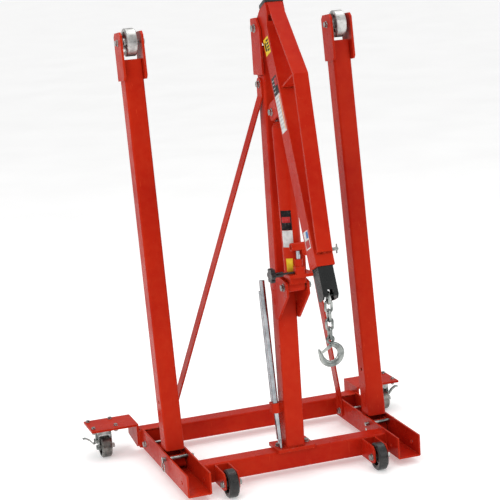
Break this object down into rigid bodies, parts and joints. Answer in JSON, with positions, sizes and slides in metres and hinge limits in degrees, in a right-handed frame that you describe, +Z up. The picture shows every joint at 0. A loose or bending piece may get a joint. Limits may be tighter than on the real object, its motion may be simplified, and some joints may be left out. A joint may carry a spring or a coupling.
{
  "type": "engine hoist crane",
  "caption": "Folding engine hoist: wheeled steel frame with a mast, a hydraulic ram that raises a strapped boom, a sliding extension with chain and hook, and fold-down legs.",
  "frame": {"origin": "middle of the footprint on the floor", "axes": "+Z up, +Y towards the casters at the back, -Y towards the hook, +X to the crane's right as seen from the front"},
  "size_m": [1.308, 1.0711, 1.7054],
  "materials": {
    "red_paint": "glossy",
    "black_paint": "satin",
    "zinc": "satin",
    "steel_wheel": "dull",
    "chrome": "mirror",
    "tyre": "matte",
    "hub_steel": "dull",
    "black_plastic": "matte"
  },
  "bodies": {
    "frame": {"boom_pivot_bolt": "zinc", "caster_bolts": "zinc", "caster_plates": "zinc", "frame_bolts": "zinc", "front_beam": "red_paint", "front_wheel_axles": "zinc", "front_wheel_brackets": "red_paint", "handle_clip": "red_paint", "left_rail": "red_paint", "leg_pivot_pins": "zinc", "mast": "red_paint", "mast_base_plate": "red_paint", "mast_braces": "red_paint", "mast_head_plates": "red_paint", "outriggers": "red_paint", "ram_base_bolt": "zinc", "ram_ears": "red_paint", "rear_beam": "red_paint", "right_rail": "red_paint"},
    "jib": {"jib": "black_paint"},
    "jib_pin": {"jib_pin": "zinc"},
    "chain": {"hoist_chain": "zinc"},
    "hook": {"hook": "zinc"},
    "hook_latch": {"hook_latch": "zinc"},
    "boom": {"boom": "red_paint", "boom_end_cap": "black_plastic", "boom_truss": "red_paint", "boom_strut": "red_paint", "boom_lugs": "red_paint", "ram_top_pin": "zinc"},
    "ram": {"ram_base": "red_paint", "ram_cylinder": "red_paint"},
    "rod": {"ram_rod": "chrome"},
    "pump_lever": {"lever_socket": "red_paint"},
    "plunger": {"pump_plunger": "chrome"},
    "release_knob": {"release_knob": "black_plastic"},
    "handle": {"pump_handle": "chrome"},
    "extension": {"handle_extension": "chrome"},
    "left_leg": {"left_leg": "red_paint", "left_leg_fork": "red_paint", "left_leg_axle": "zinc"},
    "left_leg_wheel": {"left_leg_wheel": "steel_wheel"},
    "left_front_wheel": {"left_front_tyre": "tyre", "left_front_hub": "hub_steel"},
    "left_caster": {"left_caster_yoke": "zinc", "left_caster_axle": "zinc"},
    "left_caster_wheel": {"left_caster_wheel": "steel_wheel"},
    "left_brake": {"left_brake_lever": "zinc"},
    "left_lock_pin": {"left_lock_pin": "zinc"},
    "right_leg": {"right_leg": "red_paint", "right_leg_fork": "red_paint", "right_leg_axle": "zinc"},
    "right_leg_wheel": {"right_leg_wheel": "steel_wheel"},
    "right_front_wheel": {"right_front_tyre": "tyre", "right_front_hub": "hub_steel"},
    "right_caster": {"right_caster_yoke": "zinc", "right_caster_axle": "zinc"},
    "right_caster_wheel": {"right_caster_wheel": "steel_wheel"},
    "right_brake": {"right_brake_lever": "zinc"},
    "right_lock_pin": {"right_lock_pin": "zinc"}
  },
  "joints": [
    {"name": "boom_raise", "type": "hinge", "parent": "frame", "child": "boom", "pos_m": [0, -0.06, 1.603], "axis": [-1, 0, 0], "range_deg": [0, 90]},
    {"name": "jib_slide", "type": "slide", "parent": "boom", "child": "jib", "axis": [0, -0.4083, -0.9128], "range_m": [0, 0.3]},
    {"name": "jib_pin_pull", "type": "slide", "parent": "boom", "child": "jib_pin", "axis": [1, 0, 0], "range_m": [0, 0.012]},
    {"name": "chain_hang", "type": "hinge", "parent": "jib", "child": "chain", "pos_m": [0, -0.50595, 0.75301], "axis": [-1, 0, 0], "range_deg": [-90, 0]},
    {"name": "hook_swing", "type": "hinge", "parent": "chain", "child": "hook", "pos_m": [0, -0.50595, 0.60271], "axis": [0, 1, 0], "range_deg": [-40, 40]},
    {"name": "latch_open", "type": "hinge", "parent": "hook", "child": "hook_latch", "pos_m": [-0.003, -0.50595, 0.58091], "axis": [0, -1, 0], "range_deg": [0, 30], "stiffness_Nm_per_rad": 0.02, "springref_deg": -5.73},
    {"name": "ram_tilt", "type": "hinge", "parent": "frame", "child": "ram", "pos_m": [0, -0.198, 0.719], "axis": [1, 0, 0], "range_deg": [0, 12.74]},
    {"name": "rod_slide", "type": "slide", "parent": "ram", "child": "rod", "axis": [0, 0.0776, 0.997], "range_m": [0, 0.3796]},
    {"name": "lever_lift", "type": "hinge", "parent": "ram", "child": "pump_lever", "pos_m": [0.024, -0.24583, 0.848], "axis": [0, 1, 0], "range_deg": [0, 25]},
    {"name": "plunger_slide", "type": "slide", "parent": "ram", "child": "plunger", "axis": [0, 0, 1], "range_m": [0, 0.0072]},
    {"name": "release_turn", "type": "hinge", "parent": "ram", "child": "release_knob", "pos_m": [-0.06, -0.24583, 0.779], "axis": [-1, 0, 0], "range_deg": [0, 360]},
    {"name": "handle_lift", "type": "slide", "parent": "frame", "child": "handle", "axis": [-0.0213, 0.0834, 0.9963], "range_m": [0, 0.3]},
    {"name": "extension_lift", "type": "slide", "parent": "frame", "child": "extension", "axis": [-0.0213, 0.0834, 0.9963], "range_m": [0, 0.2]},
    {"name": "left_leg_fold", "type": "hinge", "parent": "frame", "child": "left_leg", "pos_m": [-0.398, 0.0902, 0.052], "axis": [1, 0, 0], "range_deg": [0, 97]},
    {"name": "left_leg_wheel_spin", "type": "hinge", "parent": "left_leg", "child": "left_leg_wheel", "pos_m": [-0.398, 0.27431, 1.56786], "axis": [1, 0, 0], "continuous": true},
    {"name": "left_front_wheel_spin", "type": "hinge", "parent": "frame", "child": "left_front_wheel", "pos_m": [-0.282, -0.197, 0.05], "axis": [1, 0, 0], "continuous": true},
    {"name": "left_caster_swivel", "type": "hinge", "parent": "frame", "child": "left_caster", "pos_m": [-0.574, 0.473, 0.1], "axis": [0, 0, 1], "continuous": true},
    {"name": "left_caster_wheel_spin", "type": "hinge", "parent": "left_caster", "child": "left_caster_wheel", "pos_m": [-0.574, 0.443, 0.041], "axis": [1, 0, 0], "continuous": true},
    {"name": "left_brake_press", "type": "hinge", "parent": "left_caster", "child": "left_brake", "pos_m": [-0.604, 0.465, 0.06], "axis": [0, -1, 0], "range_deg": [0, 12]},
    {"name": "left_lock_pin_pull", "type": "slide", "parent": "frame", "child": "left_lock_pin", "axis": [-1, 0, 0], "range_m": [0, 0.12]},
    {"name": "right_leg_fold", "type": "hinge", "parent": "frame", "child": "right_leg", "pos_m": [0.398, 0.0902, 0.052], "axis": [1, 0, 0], "range_deg": [0, 97]},
    {"name": "right_leg_wheel_spin", "type": "hinge", "parent": "right_leg", "child": "right_leg_wheel", "pos_m": [0.398, 0.27431, 1.56786], "axis": [1, 0, 0], "continuous": true},
    {"name": "right_front_wheel_spin", "type": "hinge", "parent": "frame", "child": "right_front_wheel", "pos_m": [0.282, -0.197, 0.05], "axis": [1, 0, 0], "continuous": true},
    {"name": "right_caster_swivel", "type": "hinge", "parent": "frame", "child": "right_caster", "pos_m": [0.574, 0.473, 0.1], "axis": [0, 0, 1], "continuous": true},
    {"name": "right_caster_wheel_spin", "type": "hinge", "parent": "right_caster", "child": "right_caster_wheel", "pos_m": [0.574, 0.443, 0.041], "axis": [1, 0, 0], "continuous": true},
    {"name": "right_brake_press", "type": "hinge", "parent": "right_caster", "child": "right_brake", "pos_m": [0.604, 0.465, 0.06], "axis": [0, 1, 0], "range_deg": [0, 12]},
    {"name": "right_lock_pin_pull", "type": "slide", "parent": "frame", "child": "right_lock_pin", "axis": [1, 0, 0], "range_m": [0, 0.12]}
  ],
  "couplings": [
    {"joint": "chain_hang", "follows": "boom_raise", "ratio": -1},
    {"joint": "ram_tilt", "follows": "boom_raise", "ratio": 0.14151},
    {"joint": "rod_slide", "follows": "boom_raise", "m_per_rad": 0.2416},
    {"joint": "plunger_slide", "follows": "lever_lift", "m_per_rad": 0.0165}
  ]
}
